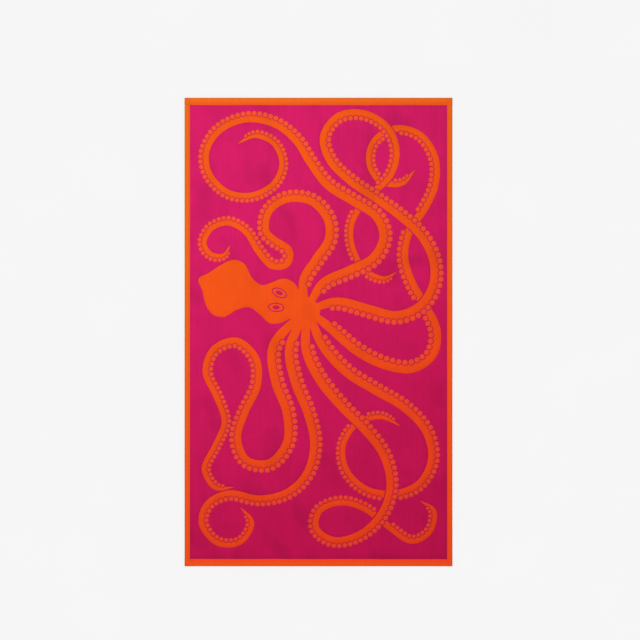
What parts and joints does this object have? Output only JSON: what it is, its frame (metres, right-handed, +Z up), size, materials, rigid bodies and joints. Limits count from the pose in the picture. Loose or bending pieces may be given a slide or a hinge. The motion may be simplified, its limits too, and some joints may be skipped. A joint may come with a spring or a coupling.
{
  "type": "beach towel",
  "caption": "Velour beach towel, 1.00 m x 1.75 m, laid flat, with a woven octopus whose eight arms and sucker rows fill the field, contrasting hems on all four sides, and a fold across the middle.",
  "frame": {"origin": "centre of the towel's underside, on the floor it lies on", "axes": "+X across the width to the right as seen from above, +Y along the length to the top edge of the picture (the upper half), +Z up out of the face"},
  "size_m": [1, 1.75, 0.0034],
  "materials": {
    "ground_cloth": "dyed cotton weave",
    "back_field_pile": "loop pile",
    "back_octopus_pile": "loop pile",
    "magenta_pile": "cut velour pile",
    "orange_pile": "cut velour pile",
    "sucker_pile": "cut velour pile",
    "flat_woven_hem": "flat woven, matte",
    "sewing_thread": "spun cotton thread"
  },
  "bodies": {
    "lower_half": {"ground_cloth_lower": "ground_cloth", "back_field_pile_lower": "back_field_pile", "back_octopus_pile_lower": "back_octopus_pile", "face_field_pile_lower": "magenta_pile", "left_hem_lower": "flat_woven_hem", "right_hem_lower": "flat_woven_hem", "bottom_hem": "flat_woven_hem", "left_hem_seam_lower": "sewing_thread", "right_hem_seam_lower": "sewing_thread", "bottom_hem_seam": "sewing_thread", "arm_4_pile_lower": "orange_pile", "arm_4_suckers_lower": "sucker_pile", "arm_5_pile": "orange_pile", "arm_5_suckers": "sucker_pile", "arm_6_pile": "orange_pile", "arm_6_suckers": "sucker_pile", "arm_7_pile": "orange_pile", "arm_7_suckers": "sucker_pile", "arm_8_pile": "orange_pile", "arm_8_suckers": "sucker_pile"},
    "upper_half": {"ground_cloth_upper": "ground_cloth", "back_field_pile_upper": "back_field_pile", "back_octopus_pile_upper": "back_octopus_pile", "face_field_pile_upper": "magenta_pile", "left_hem_upper": "flat_woven_hem", "right_hem_upper": "flat_woven_hem", "top_hem": "flat_woven_hem", "left_hem_seam_upper": "sewing_thread", "right_hem_seam_upper": "sewing_thread", "top_hem_seam": "sewing_thread", "arm_1_pile": "orange_pile", "arm_1_suckers": "sucker_pile", "arm_2_pile": "orange_pile", "arm_2_suckers": "sucker_pile", "arm_3_pile": "orange_pile", "arm_3_suckers": "sucker_pile", "arm_4_pile_upper": "orange_pile", "arm_4_suckers_upper": "sucker_pile", "body_pile": "orange_pile", "eye_1_ring": "magenta_pile", "eye_1_iris": "orange_pile", "eye_1_pupil": "magenta_pile", "eye_2_ring": "magenta_pile", "eye_2_iris": "orange_pile", "eye_2_pupil": "magenta_pile"}
  },
  "joints": [
    {"name": "fold_in_half", "type": "hinge", "parent": "lower_half", "child": "upper_half", "pos_m": [0, 0, 0.0055], "axis": [1, 0, 0], "range_deg": [0, 180]}
  ]
}
